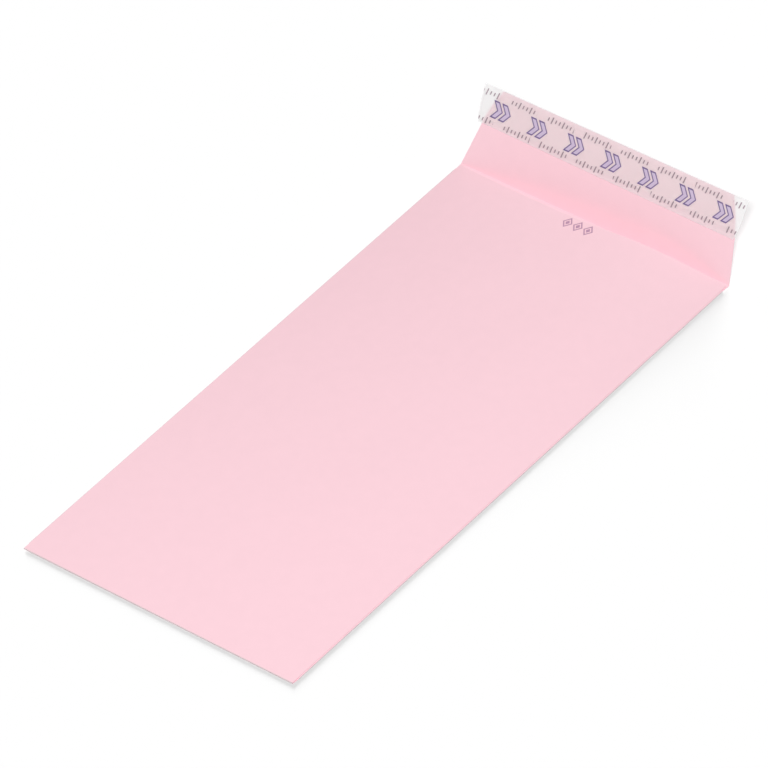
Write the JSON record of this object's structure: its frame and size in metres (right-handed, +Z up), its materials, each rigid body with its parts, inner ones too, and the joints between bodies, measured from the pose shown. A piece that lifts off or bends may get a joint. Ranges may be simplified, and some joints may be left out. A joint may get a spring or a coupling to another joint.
{
  "type": "peel and seal envelope",
  "caption": "Long paper pocket envelope with a half-raised seal flap at its short end and a self-adhesive band under a peel-off release liner.",
  "frame": {"origin": "centre of the front panel's outer face, on which the envelope lies", "axes": "+X across the envelope, +Y from the bottom fold to the flap crease, +Z up out of the front panel through the pocket"},
  "size_m": [0.11, 0.236, 0.0234],
  "materials": {
    "pink_paper": "uncoated tinted envelope paper, matt",
    "seam_gum": "dried dextrin seam gum",
    "seal_adhesive": "tacky hot-melt adhesive, slightly glossy",
    "glassine_liner": "silicone-coated glassine, smooth and half see-through, with a small violet print"
  },
  "bodies": {
    "envelope": {"front_panel": "pink_paper", "back_panel": "pink_paper", "bottom_fold": "pink_paper", "flap_crease": "pink_paper", "left_side_fold": "pink_paper", "right_side_fold": "pink_paper", "left_seam_flap": "pink_paper", "right_seam_flap": "pink_paper", "left_seam_gum": "seam_gum", "right_seam_gum": "seam_gum"},
    "flap": {"seal_flap": "pink_paper", "adhesive_strip": "seal_adhesive"},
    "liner": {"release_liner": "glassine_liner"}
  },
  "joints": [
    {"name": "flap_fold", "type": "hinge", "parent": "envelope", "child": "flap", "pos_m": [0, 0.11, 0.0005], "axis": [1, 0, 0], "range_deg": [-56, 124], "deforming": ["back_panel", "flap_crease"]},
    {"name": "liner_pull", "type": "slide", "parent": "flap", "child": "liner", "axis": [1, 0, 0], "range_m": [0, 0.115]}
  ]
}
